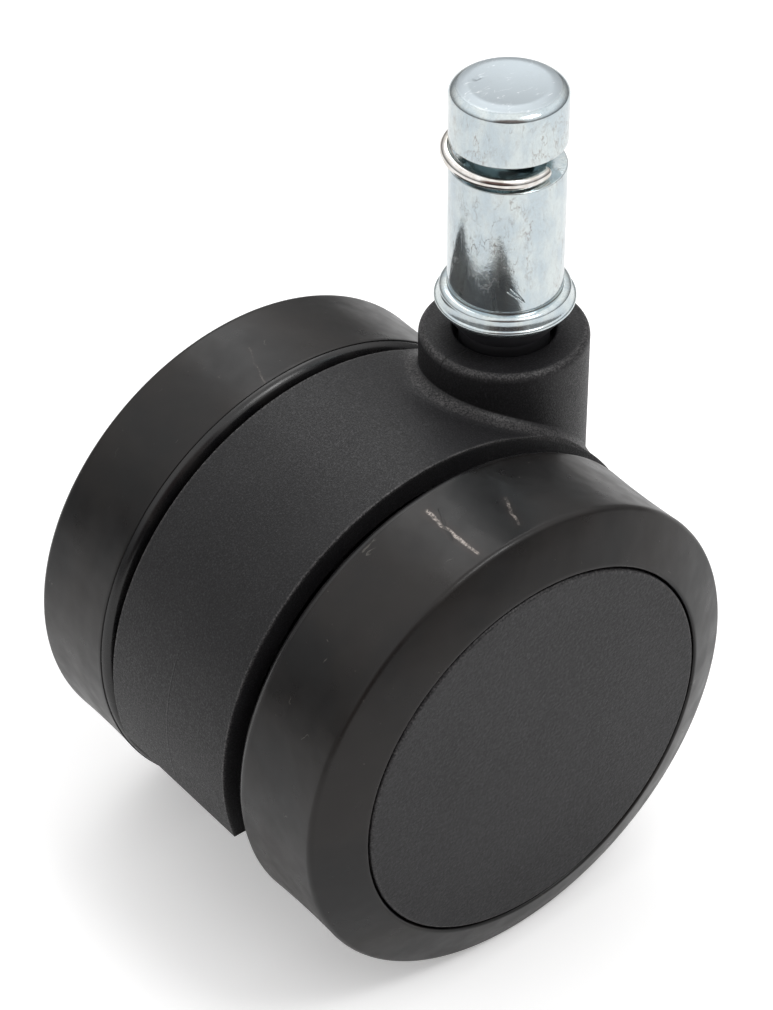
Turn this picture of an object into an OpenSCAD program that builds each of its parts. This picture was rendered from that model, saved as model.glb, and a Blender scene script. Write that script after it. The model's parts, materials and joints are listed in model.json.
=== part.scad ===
// Twin-wheel chair caster with a grip-ring stem.
// Origin: the foot of the pin, on the stem axis, where the collar meets the chair leg.
// +Z runs up the stem, the wheel axle lies along Y, and the wheels trail towards -X.
// The left wheel is at +Y and the right wheel at -Y. All sizes are in millimetres.

/* [Pin and collar] */
// Diameter of the pin that enters the chair leg
pin_d = 11; // [10.8:0.1:11.4]
// Height of the pin above the collar
pin_h = 21.6; // [20.6:0.2:24]
// Diameter of the flat on top of the pin
pin_top_d = 7.9; // [7:0.1:8.4]
// Height of the rounded shoulder at the top of the pin
pin_shoulder_h = 1; // [0.6:0.05:1.5]
// Height above the collar at which the ring groove starts
groove_z = 13.3; // [12:0.1:14]
// Width of the ring groove
groove_w = 2.6; // [2.3:0.1:3]
// Diameter of the pin inside the ring groove
groove_d = 7; // [6.6:0.1:7]
// Largest diameter of the collar
collar_d = 13.5; // [13.2:0.1:14]
// Diameter of the step on top of the collar
collar_step_d = 12.6; // [12:0.1:13]
// Thickness of the collar
collar_h = 1.8; // [1.5:0.05:2.5]

/* [Grip ring] */
// Wire diameter of the grip ring
wire_d = 1.2; // [1:0.05:1.3]
// Distance by which the relaxed ring stands off the pin's centre
ring_shift = 0.85; // [0.5:0.05:0.85]
// Direction in which the ring stands off, seen from above
ring_shift_deg = 165; // [0:1:359]
// Opening of the C-shaped ring
ring_gap_deg = 90; // [84:1:110]
// Angle by which the opening is turned away from the side opposite to the shift
ring_turn_deg = -6; // [-20:1:20]
// Tilt of the loose ring in its groove
ring_tilt_deg = 6; // [0:0.5:6]
// Angle from the direction of the shift round to the ring's highest point
ring_high_deg = -50; // [-90:5:90]

/* [Swivel] */
// Diameter of the journal that turns in the housing
journal_d = 8.7; // [8.4:0.1:8.8]
// Depth of the journal's end below the collar
journal_drop = 26.95; // [26:0.05:28]
// Wall of the swivel bush
bush_wall = 0.5; // [0.4:0.05:0.6]
// Radial running clearance of every shaft
running_gap = 0.05; // [0.02:0.01:0.1]

/* [Housing] */
// Distance from the stem axis back to the wheel axle
trail = 15.4; // [15:0.1:17]
// Distance from the collar down to the wheel axle
axle_drop = 34.35; // [34:0.05:36]
// Outer radius of the hood over the wheels
hood_r = 25.7; // [25:0.1:27]
// Wall of the hood
hood_wall = 2.5; // [2:0.1:3]
// Width of the hood between the wheels
hood_w = 17.8; // [17.6:0.1:18.4]
// Distance from the axle down to the hood's lower edges
skirt_drop = 7.05; // [6.8:0.05:9]
// Diameter of the socket around the stem
socket_d = 16.4; // [16:0.1:17]
// Depth of the socket's top face below the collar
socket_top = 5.24; // [4.9:0.02:5.6]
// Radius of the fillet between socket and hood
fillet_r = 1.6; // [1:0.1:2]
// Thickness of the web between the wheels
web_t = 4; // [3:0.2:5]
// Thickness of the ribs on the web
rib_t = 1.2; // [1:0.1:1.6]

/* [Wheels] */
// Largest diameter of a wheel
wheel_d = 50.9; // [50:0.1:52]
// Distance from the middle of the caster to the tread's inner edge
tread_y = 11.4; // [11.2:0.1:11.8]
// Distance from the middle of the caster to the outside of a hubcap
wheel_y = 23.65; // [23.6:0.05:24.4]
// Depth of the shallow waist round the tread
waist = 0.15; // [0:0.05:0.5]
// Diameter of a hubcap
hubcap_d = 39.8; // [39:0.1:40.2]
// Width of the groove between hubcap and tyre
hubcap_gap = 0.2; // [0.1:0.05:0.3]
// Outer diameter of a wheel core's rim
rim_d = 44.8; // [44.4:0.1:45]
// Number of ribs in a wheel core
core_ribs = 12; // [12:1:16]

/* [Axle] */
// Diameter of the axle
axle_d = 6; // [5:0.1:6.2]
// Thickness of an axle washer
washer_t = 0.7; // [0.5:0.05:0.8]
// Outer diameter of an axle washer
washer_d = 12; // [11:0.1:12.4]

/* [Hidden] */
$fn = 96;

LEFT = 1;
RIGHT = -1;

steel = [0.78, 0.81, 0.83];
spring_steel = [0.72, 0.70, 0.66];
zinc = [0.70, 0.72, 0.73];
nylon = [0.13, 0.13, 0.135];
polyurethane = [0.075, 0.070, 0.068];
acetal = [0.16, 0.16, 0.165];

arc_steps = 8;
loose = 0.1;
through = 1;
merge = 1;

// Stem
pin_r = pin_d / 2;
shoulder_start = 25;
groove_r = groove_d / 2;
wire_r = wire_d / 2;
ring_r = pin_r - wire_r;
collar_r = collar_d / 2;
step_r = collar_step_d / 2;
step_edge = 0.7 * (step_r - pin_r);
flange_edge = 0.3;
journal_r = journal_d / 2;
journal_bevel = 1;
neck_drop = socket_top - 0.6;

// Swivel bearing
bush_set = 2.4;
bush_l = 13.4;
bush_top = socket_top + bush_set;
bush_bottom = bush_top + bush_l;
bore_r = journal_r + running_gap + bush_wall;
relief_r = journal_r + 0.25;
snap_below_bush = 1.7;
snap_drop = bush_bottom + snap_below_bush;
snap_wire_r = 0.5;
snap_ring_r = relief_r + loose;
snap_core_r = snap_ring_r - snap_wire_r - 0.7;
snap_gap_deg = 50;
disc_t = 1;
disc_drop = journal_drop + running_gap;
socket_floor = 2;
socket_bottom = disc_drop + disc_t + socket_floor;

// Housing
socket_r = socket_d / 2;
socket_edge = 0.8;
hood_y = hood_w / 2;
hood_edge = 0.3;
hood_inner_r = hood_r - hood_wall;
fillet_steps = 5;
rib_inset = 1.6;
rib_spacing_deg = 30;
boss_wall = 3.5;
boss_inset = 0.3;

// Axle
axle_r = axle_d / 2;
axle_bevel = 0.5;
axle_end = 0.6;
boss_r = axle_r + boss_wall;
boss_y = hood_y - boss_inset;
hub_l = 9.5;
hub_y = boss_y + washer_t + loose;
hub_end_y = hub_y + hub_l;
clip_t = 0.7;
clip_depth = 0.7;
clip_reach = 2;
clip_notch_r = 0.9;
clip_y = hub_end_y + loose + washer_t;
clip_groove_r = axle_r - clip_depth;
axle_half = clip_y + clip_t + axle_end;

// Wheels
wheel_r = wheel_d / 2;
rim_r = rim_d / 2;
rim_wall = 2.3;
rim_inner_r = rim_r - rim_wall;
rim_inset = 2.25;
rim_end_y = wheel_y - rim_inset;
lip_r = 1.05;
lip_inset = 1.15;
lip_centre = [wheel_r - lip_inset, tread_y];
wheel_bush_wall = 1.15;
hub_wall = 2.6;
hub_bore_r = axle_r + running_gap + wheel_bush_wall;
hub_r = hub_bore_r + hub_wall;
core_rib_end_y = rim_end_y - 4;
ring_rib_r = (hub_r + rim_inner_r) / 2;
hubcap_r = hubcap_d / 2;
hubcap_edge = 0.25;
hubcap_t = 1.6;
tyre_face_r = hubcap_r + hubcap_gap;
tyre_face_y = wheel_y - 0.05;
tyre_edge = 0.25;
waist_y = tread_y + 5.6;
shoulder_y = rim_end_y - 0.2;
shoulder_r = 0.45;
shoulder_deg = 70;
side_crown = 0.1;

// Points on an oval with half axes rx and ry round c, from angle a0 to angle a1
function oval(c, rx, ry, a0, a1) =
    [for (i = [0:arc_steps])
        let (a = a0 + (a1 - a0) * i / arc_steps)
        [c.x + rx * cos(a), c.y + ry * sin(a)]];

// Points on an arc of radius r round c, from angle a0 to angle a1
function arc(c, r, a0, a1) = oval(c, r, r, a0, a1);

// Radius of the waisted tread at a distance from the middle of the caster
function tread_r(y) = wheel_r - waist + waist * pow((y - waist_y) / (tread_y - waist_y), 2);

// Puts a shape drawn along +Z onto the axle, pointing out through one wheel
module on_axle(side) {
    translate([-trail, 0, -axle_drop])
        rotate([-90 * side, 0, 0])
            children();
}

// Ring round Z with a rectangular section
module tube(r_in, r_out, z0, z1) {
    rotate_extrude()
        translate([r_in, z0])
            square([r_out - r_in, z1 - z0]);
}

// Ring of round wire with an opening centred on +X
module split_ring(r, wire, gap_deg) {
    rotate([0, 0, gap_deg / 2])
        rotate_extrude(angle = 360 - gap_deg)
            translate([r, 0])
                circle(r = wire);
}

module stem() {
    head_z = groove_z + groove_w;
    shoulder_rx = (pin_r - pin_top_d / 2) / (1 - sin(shoulder_start));
    shoulder_ry = pin_shoulder_h / cos(shoulder_start);
    shoulder = [pin_r - shoulder_rx, pin_h - pin_shoulder_h];
    flange = [collar_r - flange_edge, -collar_h + flange_edge];
    snap_half = snap_wire_r + loose;
    color(steel)
        rotate_extrude()
            polygon(concat(
                [[0, pin_h]],
                oval(shoulder, shoulder_rx, shoulder_ry, 90 - shoulder_start, 0),
                [[pin_r, head_z], [groove_r, head_z], [groove_r, groove_z], [pin_r, groove_z],
                 [pin_r, 0]],
                arc([step_r - step_edge, -step_edge], step_edge, 90, 0),
                arc(flange, flange_edge, 60, -60),
                [[journal_r, -neck_drop],
                 [journal_r, -snap_drop + snap_half], [snap_core_r, -snap_drop + snap_half],
                 [snap_core_r, -snap_drop - snap_half], [journal_r, -snap_drop - snap_half],
                 [journal_r, -journal_drop + journal_bevel],
                 [journal_r - journal_bevel, -journal_drop], [0, -journal_drop]]));
}

// Loose ring, tilted so that only its lowest point comes near the bottom of the groove
module grip_ring() {
    lift = wire_r + running_gap + ring_r * sin(ring_tilt_deg);
    color(spring_steel)
        rotate([0, 0, ring_shift_deg])
            translate([ring_shift, 0, groove_z + lift])
                rotate([0, 0, ring_high_deg])
                    rotate([0, -ring_tilt_deg, 0])
                        rotate([0, 0, 180 + ring_turn_deg - ring_high_deg])
                            split_ring(ring_r, wire_r, ring_gap_deg);
}

module stem_snap_ring() {
    color(spring_steel)
        translate([0, 0, -snap_drop])
            split_ring(snap_ring_r, snap_wire_r, snap_gap_deg);
}

module stem_bush() {
    color(acetal)
        tube(journal_r + running_gap, bore_r, -bush_bottom, -bush_top);
}

module thrust_disc() {
    color(zinc)
        translate([0, 0, -disc_drop - disc_t])
            cylinder(r = relief_r - running_gap, h = disc_t);
}

// Everything above the level of the hood's lower edges
module above_skirt() {
    reach = 2 * hood_r;
    intersection() {
        children();
        translate([-trail - reach, -reach, -axle_drop - skirt_drop])
            cube([2 * reach, 2 * reach, 2 * reach]);
    }
}

// Disc round the axle, as wide as the hood
module axle_disc(r, half_w) {
    translate([-trail, half_w, -axle_drop])
        rotate([90, 0, 0])
            cylinder(r = r, h = 2 * half_w);
}

// Hood shell with softened side edges
module hood_shell() {
    on_axle(LEFT)
        rotate_extrude()
            polygon([[hood_inner_r, -hood_y + hood_edge], [hood_inner_r + hood_edge, -hood_y],
                     [hood_r - hood_edge, -hood_y], [hood_r, -hood_y + hood_edge],
                     [hood_r, hood_y - hood_edge], [hood_r - hood_edge, hood_y],
                     [hood_inner_r + hood_edge, hood_y], [hood_inner_r, hood_y - hood_edge]]);
}

// Ribs that stiffen the web: one arc and a fan round the axle boss
module web_ribs() {
    rib_half = hood_y - rib_inset;
    arc_rib_r = (boss_r + hood_inner_r) / 2;
    on_axle(LEFT)
        tube(arc_rib_r - rib_t / 2, arc_rib_r + rib_t / 2, -rib_half, rib_half);
    for (a = [0:rib_spacing_deg:180])
        translate([-trail, 0, -axle_drop])
            rotate([0, -a, 0])
                translate([0, -rib_half, -rib_t / 2])
                    cube([hood_inner_r + hood_wall / 2, 2 * rib_half, rib_t]);
}

// Stepped fillet that follows the line where the socket meets the hood
module socket_fillet() {
    step = fillet_r / fillet_steps;
    for (i = [1:fillet_steps]) {
        to_centre = fillet_r - step * (i - 1);
        spread = fillet_r - sqrt(pow(fillet_r, 2) - pow(to_centre, 2));
        intersection() {
            axle_disc(hood_r + step * i, hood_y - hood_edge);
            translate([0, 0, -axle_drop])
                cylinder(r = socket_r + spread, h = axle_drop - socket_top);
        }
    }
}

module housing() {
    snap_groove_half = snap_wire_r + running_gap;
    color(nylon)
        difference() {
            union() {
                above_skirt() {
                    union() {
                        hood_shell();
                        axle_disc(hood_inner_r + hood_wall / 2, web_t / 2);
                        web_ribs();
                        socket_fillet();
                    }
                }
                axle_disc(boss_r, boss_y);
                rotate_extrude()
                    polygon(concat([[0, -socket_bottom], [socket_r, -socket_bottom]],
                        arc([socket_r - socket_edge, -socket_top - socket_edge], socket_edge, 0, 90),
                        [[0, -socket_top]]));
            }
            axle_disc(axle_r, hood_r);
            translate([0, 0, -bush_bottom])
                cylinder(r = bore_r, h = bush_bottom);
            translate([0, 0, -disc_drop - disc_t])
                cylinder(r = relief_r, h = disc_drop);
            tube(relief_r - loose, snap_ring_r + snap_groove_half,
                 -snap_drop - snap_groove_half, -snap_drop + snap_groove_half);
        }
}

module axle() {
    color(steel)
        on_axle(LEFT)
            rotate_extrude()
                polygon([[0, -axle_half], [axle_r - axle_bevel, -axle_half],
                         [axle_r, -axle_half + axle_bevel],
                         [axle_r, -clip_y - clip_t], [clip_groove_r, -clip_y - clip_t],
                         [clip_groove_r, -clip_y], [axle_r, -clip_y],
                         [axle_r, clip_y], [clip_groove_r, clip_y],
                         [clip_groove_r, clip_y + clip_t], [axle_r, clip_y + clip_t],
                         [axle_r, axle_half - axle_bevel], [axle_r - axle_bevel, axle_half],
                         [0, axle_half]]);
}

// E-shaped retaining clip that grips the axle groove
module axle_clip(side) {
    clip_r = axle_r + clip_reach;
    slot_w = 1.4 * clip_groove_r;
    cut_h = clip_t + 2 * through;
    on_axle(side)
        translate([0, 0, clip_y])
            difference() {
                cylinder(r = clip_r, h = clip_t);
                translate([0, 0, -through])
                    cylinder(r = clip_groove_r, h = cut_h);
                translate([0, -slot_w / 2, -through])
                    cube([clip_r + through, slot_w, cut_h]);
                for (a = [120, 240])
                    rotate([0, 0, a])
                        translate([axle_r, 0, -through])
                            cylinder(r = clip_notch_r, h = cut_h);
            }
}

module axle_clips() {
    color(zinc) {
        axle_clip(LEFT);
        axle_clip(RIGHT);
    }
}

module inner_washer(side) {
    color(zinc)
        on_axle(side)
            tube(axle_r + running_gap, washer_d / 2, boss_y, boss_y + washer_t);
}

module outer_washer(side) {
    color(zinc)
        on_axle(side)
            tube(axle_r + running_gap, washer_d / 2, hub_end_y + loose, clip_y);
}

module wheel_bush(side) {
    color(acetal)
        on_axle(side)
            tube(axle_r + running_gap, hub_bore_r, hub_y, hub_end_y);
}

// Section of the core's inner side, with its rounded rim lip
module core_side_section() {
    translate([hub_bore_r, lip_centre.y - lip_r])
        square([lip_centre.x - hub_bore_r, 2 * lip_r]);
    translate(lip_centre)
        circle(r = lip_r);
}

module wheel_core(side) {
    color(nylon)
        on_axle(side)
            union() {
                rotate_extrude() {
                    core_side_section();
                    translate([hub_bore_r, hub_y])
                        square([hub_r - hub_bore_r, hub_l]);
                    translate([rim_inner_r, tread_y])
                        square([rim_wall, rim_end_y - tread_y]);
                    translate([ring_rib_r - rib_t / 2, tread_y])
                        square([rib_t, core_rib_end_y + merge - tread_y]);
                }
                for (i = [0:core_ribs - 1])
                    rotate([0, 0, i * 360 / core_ribs])
                        translate([hub_r - merge, -rib_t / 2, tread_y])
                            cube([rim_inner_r - hub_r + 2 * merge, rib_t,
                                  core_rib_end_y - tread_y]);
            }
}

// Section of the tread and outer side wall
module tyre_section() {
    shoulder = arc([tread_r(shoulder_y) - shoulder_r, shoulder_y], shoulder_r, 0, shoulder_deg);
    side_start = shoulder[arc_steps];
    side_end = [tyre_face_r + tyre_edge, tyre_face_y];
    difference() {
        polygon(concat(
            [[rim_r, tread_y]],
            [for (i = [0:arc_steps - 1])
                let (y = tread_y + (shoulder_y - tread_y) * i / arc_steps)
                [tread_r(y), y]],
            shoulder,
            [for (i = [1:arc_steps - 1])
                let (t = i / arc_steps)
                side_start + (side_end - side_start) * t + [0, 4 * side_crown * t * (1 - t)]],
            arc(side_end - [0, tyre_edge], tyre_edge, 90, 180),
            [[tyre_face_r, rim_end_y], [rim_r, rim_end_y]]));
        core_side_section();
    }
}

module tyre(side) {
    color(polyurethane)
        on_axle(side)
            rotate_extrude()
                tyre_section();
}

// Flat cover with a skirt whose bead snaps into the core's rim
module hubcap(side) {
    skirt_r = rim_inner_r - 0.5;
    skirt_t = 1.2;
    skirt_l = 2.4;
    bead_r = 0.45;
    bead_up = 0.6;
    back_y = wheel_y - hubcap_t;
    color(nylon)
        on_axle(side)
            rotate_extrude() {
                polygon([[0, back_y], [hubcap_r, back_y], [hubcap_r, wheel_y - hubcap_edge],
                         [hubcap_r - hubcap_edge, wheel_y], [0, wheel_y]]);
                translate([skirt_r - skirt_t, back_y - skirt_l])
                    square([skirt_t, skirt_l + hubcap_t / 2]);
                translate([skirt_r, back_y - skirt_l + bead_up])
                    circle(r = bead_r);
            }
}

stem();
grip_ring();
stem_snap_ring();
stem_bush();
thrust_disc();
housing();
axle();
axle_clips();
inner_washer(LEFT);  // inner_washer_left
inner_washer(RIGHT);  // inner_washer_right
outer_washer(LEFT);  // outer_washer_left
outer_washer(RIGHT);  // outer_washer_right
wheel_bush(LEFT);  // wheel_bush_left
wheel_bush(RIGHT);  // wheel_bush_right
wheel_core(LEFT);  // wheel_core_left
wheel_core(RIGHT);  // wheel_core_right
tyre(LEFT);  // tyre_left
tyre(RIGHT);  // tyre_right
hubcap(LEFT);  // hubcap_left
hubcap(RIGHT);  // hubcap_right
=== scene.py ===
"""Looks of a twin-wheel chair caster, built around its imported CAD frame.

Lengths are in millimetres and are scaled to metres when a mesh is made. The frame's origin is the
foot of the stem's pin; +Z runs up the stem, the axle lies along Y and the wheels trail towards -X.
"""

import json
import math

import bmesh
import bpy
from mathutils import Matrix, Vector


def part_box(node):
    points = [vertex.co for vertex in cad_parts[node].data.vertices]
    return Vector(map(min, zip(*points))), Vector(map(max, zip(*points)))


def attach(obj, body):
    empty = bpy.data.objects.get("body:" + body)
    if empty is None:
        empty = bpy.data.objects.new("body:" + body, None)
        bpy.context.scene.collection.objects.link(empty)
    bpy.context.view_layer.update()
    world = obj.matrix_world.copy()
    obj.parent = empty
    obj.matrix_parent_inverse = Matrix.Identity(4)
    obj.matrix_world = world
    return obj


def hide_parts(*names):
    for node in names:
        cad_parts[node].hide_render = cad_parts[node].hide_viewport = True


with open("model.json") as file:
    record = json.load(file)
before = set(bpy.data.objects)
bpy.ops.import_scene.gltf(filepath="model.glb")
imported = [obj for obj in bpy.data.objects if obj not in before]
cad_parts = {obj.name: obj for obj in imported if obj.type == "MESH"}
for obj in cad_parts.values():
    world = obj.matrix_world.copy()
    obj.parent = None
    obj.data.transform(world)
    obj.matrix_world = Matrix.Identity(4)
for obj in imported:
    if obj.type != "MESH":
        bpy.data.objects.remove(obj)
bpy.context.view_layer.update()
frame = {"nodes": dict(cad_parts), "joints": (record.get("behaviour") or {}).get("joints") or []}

MM = 0.001
TAU = 2 * math.pi


# ---------------------------------------------------------------- sizes taken from the frame

def box_mm(node):
    """Lowest and highest corner of a CAD node, in millimetres."""
    low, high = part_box(node)
    return Vector(low) / MM, Vector(high) / MM


def joint_point(name):
    """A joint's point, in millimetres."""
    joint = next(j for j in frame["joints"] if j["name"] == name)
    return Vector(joint["pos_m"]) / MM


AXLE = joint_point("left_wheel_spin")
HOUSING_LOW, HOUSING_HIGH = box_mm("housing")
STEM_LOW, STEM_HIGH = box_mm("stem")
TYRE_LOW, TYRE_HIGH = box_mm("tyre_left")
CAP_LOW, CAP_HIGH = box_mm("hubcap_left")
BUSH_LOW, BUSH_HIGH = box_mm("stem_bush")
HUB_BUSH_LOW, HUB_BUSH_HIGH = box_mm("wheel_bush_left")

PIN_TOP = STEM_HIGH.z
COLLAR_R = STEM_HIGH.x
WHEEL_R = (TYRE_HIGH.x - TYRE_LOW.x) / 2
HOOD_R = AXLE.x - HOUSING_LOW.x
HOOD_Y = HOUSING_HIGH.y
SKIRT_Z = HOUSING_LOW.z
SOCKET_Z = HOUSING_HIGH.z
BORE_R = BUSH_HIGH.x
DISC_Z = box_mm("thrust_disc")[0].z
AXLE_R = box_mm("axle")[1].z - AXLE.z
HUB_BUSH_R = HUB_BUSH_HIGH.z - AXLE.z
FLOOR_Z = TYRE_LOW.z

# ---------------------------------------------------------------- sizes of visible detail

# Pin with its top, groove and foot, collar with its step and bead, and the journal below it.
PIN_R = 5.5
PIN_TOP_R = 3.95
TOP_DIP = 0.06
TOP_WORN = 0.3
SHOULDER_H = 1.0
SHOULDER_START = 25
GROOVE_Z = 13.3
GROOVE_W = 2.6
GROOVE_R = 3.5
GROOVE_EDGE = 0.14
FOOT_STEP = 0.04
COLLAR_H = 1.8
STEP_R = 6.3
STEP_WIDE = 0.75
STEP_HIGH = 0.5
FLANK_HOLLOW = 1.6
BEAD_R = 0.3
NECK_DROP = 4.64
NECK_EDGE = 0.15
JOURNAL_R = 4.35
JOURNAL_BEVEL = 1
SNAP_Z = -22.74
SNAP_HALF = 0.6
SNAP_CORE_R = 3.5

# Grip ring: its wire, how far and where to it is shifted, its opening and its tilt.
RUNNING_GAP = 0.05
RING_WIRE_R = 0.6
RING_SHIFT = 0.85
RING_SHIFT_DEG = 165
RING_GAP_DEG = 90
RING_TURN_DEG = -6
RING_TILT_DEG = 6
RING_HIGH_DEG = -50

# Housing: hood, socket, the fillet between them, and the web with its ribs inside.
HOOD_WALL = 2.5
HOOD_INNER_R = HOOD_R - HOOD_WALL
HOOD_EDGE = 0.22
SOCKET_R = 8.2
SOCKET_EDGE = 0.8
SOCKET_MOUTH = 0.3
SOCKET_SPLIT_Z = SOCKET_Z - 9
SOCKET_FLOOR = 2.0
FILLET_R = 1.6
FILLET_RISE = 0.5
FILLET_FLATNESS = 0.6
WEB_T = 4.0
WEB_EDGE = 0.15
RIB_T = 1.2
RIB_INSET = 1.6
BOSS_WALL = 3.5
BOSS_INSET = 0.3

# Wheels: tread, rim and its rounded lip, hub and hubcap.
WAIST = 0.15
WAIST_Y = TYRE_LOW.y + 5.6
TREAD_EDGE = 0.08
TREAD_SHOULDER_R = 0.7
TREAD_SHOULDER_DEG = 64
SIDE_SWELL = 0.4
SIDE_EDGE = 0.25
RIM_R = 22.4
RIM_WALL = 2.3
RIM_INNER_R = RIM_R - RIM_WALL
RIM_END_Y = CAP_HIGH.y - 2.25
LIP_R = 1.05
LIP_CENTRE_R = WHEEL_R - 1.15
HUB_WALL = 2.6
HUB_R = HUB_BUSH_R + HUB_WALL
HUBCAP_R = 19.9
HUBCAP_T = 1.6
HUBCAP_GAP = 0.2
CORE_RIBS = 12
CORE_RIB_DROP = 4

# How far ribs and spokes reach into the wall that they join.
OVERLAP = 1

SMOOTH_ANGLE = math.radians(35)


# ---------------------------------------------------------------- outline helpers

def oval(cx, cy, rx, ry, start, end, steps=8):
    """Points on an oval round (cx, cy), angles in degrees."""
    points = []
    for i in range(steps + 1):
        a = math.radians(start + (end - start) * i / steps)
        points.append((cx + rx * math.cos(a), cy + ry * math.sin(a)))
    return points


def arc(cx, cy, radius, start, end, steps=8):
    """Points on an arc round (cx, cy), angles in degrees."""
    return oval(cx, cy, radius, radius, start, end, steps)


def rounded(points, radius, steps=4):
    """An open outline with its inner corners rounded off by about the given radius."""
    result = [points[0]]
    for before, corner, after in zip(points, points[1:], points[2:]):
        p, a, b = Vector(corner), Vector(before), Vector(after)
        cut = min(radius, (p - a).length / 2.2, (p - b).length / 2.2)
        start, end = p + (a - p).normalized() * cut, p + (b - p).normalized() * cut
        for i in range(steps + 1):
            t = i / steps
            result.append(tuple(start * (1 - t) ** 2 + p * 2 * t * (1 - t) + end * t ** 2))
    result.append(points[-1])
    return result


# ---------------------------------------------------------------- mesh helpers

def make_object(name, bm, edge=0.0):
    """A smooth-shaded object from a bmesh drawn in millimetres, its sharp edges rounded by edge."""
    bmesh.ops.remove_doubles(bm, verts=bm.verts, dist=1e-4)
    bmesh.ops.recalc_face_normals(bm, faces=bm.faces)
    bmesh.ops.scale(bm, vec=(MM, MM, MM), verts=bm.verts)
    mesh = bpy.data.meshes.new(name)
    bm.to_mesh(mesh)
    bm.free()
    piece = bpy.data.objects.new(name, mesh)
    bpy.context.collection.objects.link(piece)
    mesh.shade_smooth()
    mesh.set_sharp_from_angle(angle=SMOOTH_ANGLE)
    if edge:
        bevel = piece.modifiers.new("edges", "BEVEL")
        bevel.width = edge * MM
        bevel.segments = 3
        bevel.limit_method = "ANGLE"
        bevel.angle_limit = SMOOTH_ANGLE
    normals = piece.modifiers.new("normals", "WEIGHTED_NORMAL")
    normals.keep_sharp = True
    return piece


def add_grid(bm, rows, close_rows=False, close_columns=False):
    """Quads between rows of points, all of one length."""
    lines = [[bm.verts.new(p) for p in row] for row in rows]
    columns = len(rows[0])
    for i in range(len(rows) - (0 if close_rows else 1)):
        upper, lower = lines[i], lines[(i + 1) % len(rows)]
        for k in range(columns - (0 if close_columns else 1)):
            n = (k + 1) % columns
            bm.faces.new((upper[k], upper[n], lower[n], lower[k]))


def add_revolved(bm, outline, place, segments=192, closed=False):
    """Revolves an outline of (radius, height) round the axis that place puts along its +Z."""
    rows = []
    for i in range(segments):
        a = TAU * i / segments
        rows.append([place @ Vector((r * math.cos(a), r * math.sin(a), h)) for r, h in outline])
    add_grid(bm, rows, close_rows=True, close_columns=closed)


def add_prism(bm, outline, thickness, place):
    """A straight-sided solid from an outline in place's XZ plane, centred on it."""
    half = thickness / 2
    sides = []
    for y in (-half, half):
        sides.append([bm.verts.new(place @ Vector((x, y, z))) for x, z in outline])
    front, back = sides
    bm.faces.new(front)
    bm.faces.new(list(reversed(back)))
    for i in range(len(outline)):
        n = (i + 1) % len(outline)
        bm.faces.new((front[i], back[i], back[n], front[n]))


def turned(degrees, axis="Z"):
    return Matrix.Rotation(math.radians(degrees), 4, axis)


def on_axle(side):
    """Puts an outline's +Z on the wheel axle, pointing out through one wheel."""
    return Matrix.Translation(AXLE) @ Matrix.Rotation(-math.pi / 2 * side, 4, "X")


# ---------------------------------------------------------------- stem and rings

def stem_head():
    """Flat disc with a worn edge and an oval shoulder."""
    rx = (PIN_R - PIN_TOP_R) / (1 - math.sin(math.radians(SHOULDER_START)))
    rz = SHOULDER_H / math.cos(math.radians(SHOULDER_START))
    shoulder = oval(PIN_R - rx, PIN_TOP - SHOULDER_H, rx, rz, 90 - SHOULDER_START, 0, 14)
    disc = [(0, PIN_TOP - TOP_DIP), (PIN_TOP_R - 2 * TOP_WORN, PIN_TOP - TOP_DIP),
            (PIN_TOP_R - TOP_WORN, PIN_TOP)]
    return disc + shoulder


def stem_collar(flank_steps=8):
    """Step, dished flank and bead of the collar, down to its underside."""
    step = oval(STEP_R - STEP_WIDE, -STEP_HIGH, STEP_WIDE, STEP_HIGH, 90, 15, 10)
    bead = arc(COLLAR_R - BEAD_R, BEAD_R - COLLAR_H, BEAD_R, 75, -70, 12)
    (r0, z0), (r1, z1) = step[-1], bead[0]
    flank = []
    for i in range(1, flank_steps):
        t = i / flank_steps
        flank.append((r0 + (r1 - r0) * t ** FLANK_HOLLOW, z0 + (z1 - z0) * t))
    return step + flank + bead


def stem_outline():
    """Half section of the stem, from the pin's top down to the journal's end."""
    groove_top = GROOVE_Z + GROOVE_W
    groove = [(PIN_R, groove_top + 1), (PIN_R, groove_top), (GROOVE_R, groove_top),
              (GROOVE_R, GROOVE_Z), (PIN_R, GROOVE_Z), (PIN_R, GROOVE_Z - 1)]
    foot = [(PIN_R, 4 * FOOT_STEP), (PIN_R - FOOT_STEP, 2 * FOOT_STEP), (PIN_R - FOOT_STEP, 0)]
    neck = [(JOURNAL_R + 0.2, NECK_EDGE - NECK_DROP), (JOURNAL_R, -NECK_DROP)]
    snap_top, snap_foot = SNAP_Z + SNAP_HALF, SNAP_Z - SNAP_HALF
    snap_groove = [(JOURNAL_R, snap_top), (SNAP_CORE_R, snap_top),
                   (SNAP_CORE_R, snap_foot), (JOURNAL_R, snap_foot)]
    end = [(JOURNAL_R, STEM_LOW.z + JOURNAL_BEVEL), (JOURNAL_R - JOURNAL_BEVEL, STEM_LOW.z),
           (0, STEM_LOW.z)]
    return (stem_head() + rounded(groove, GROOVE_EDGE)[1:-1] + foot + stem_collar()
            + neck + snap_groove + end)


def make_stem():
    bm = bmesh.new()
    add_revolved(bm, stem_outline(), Matrix.Identity(4))
    piece = make_object("stem_turned", bm)
    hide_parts("stem")
    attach(piece, "stem")
    return piece


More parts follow.
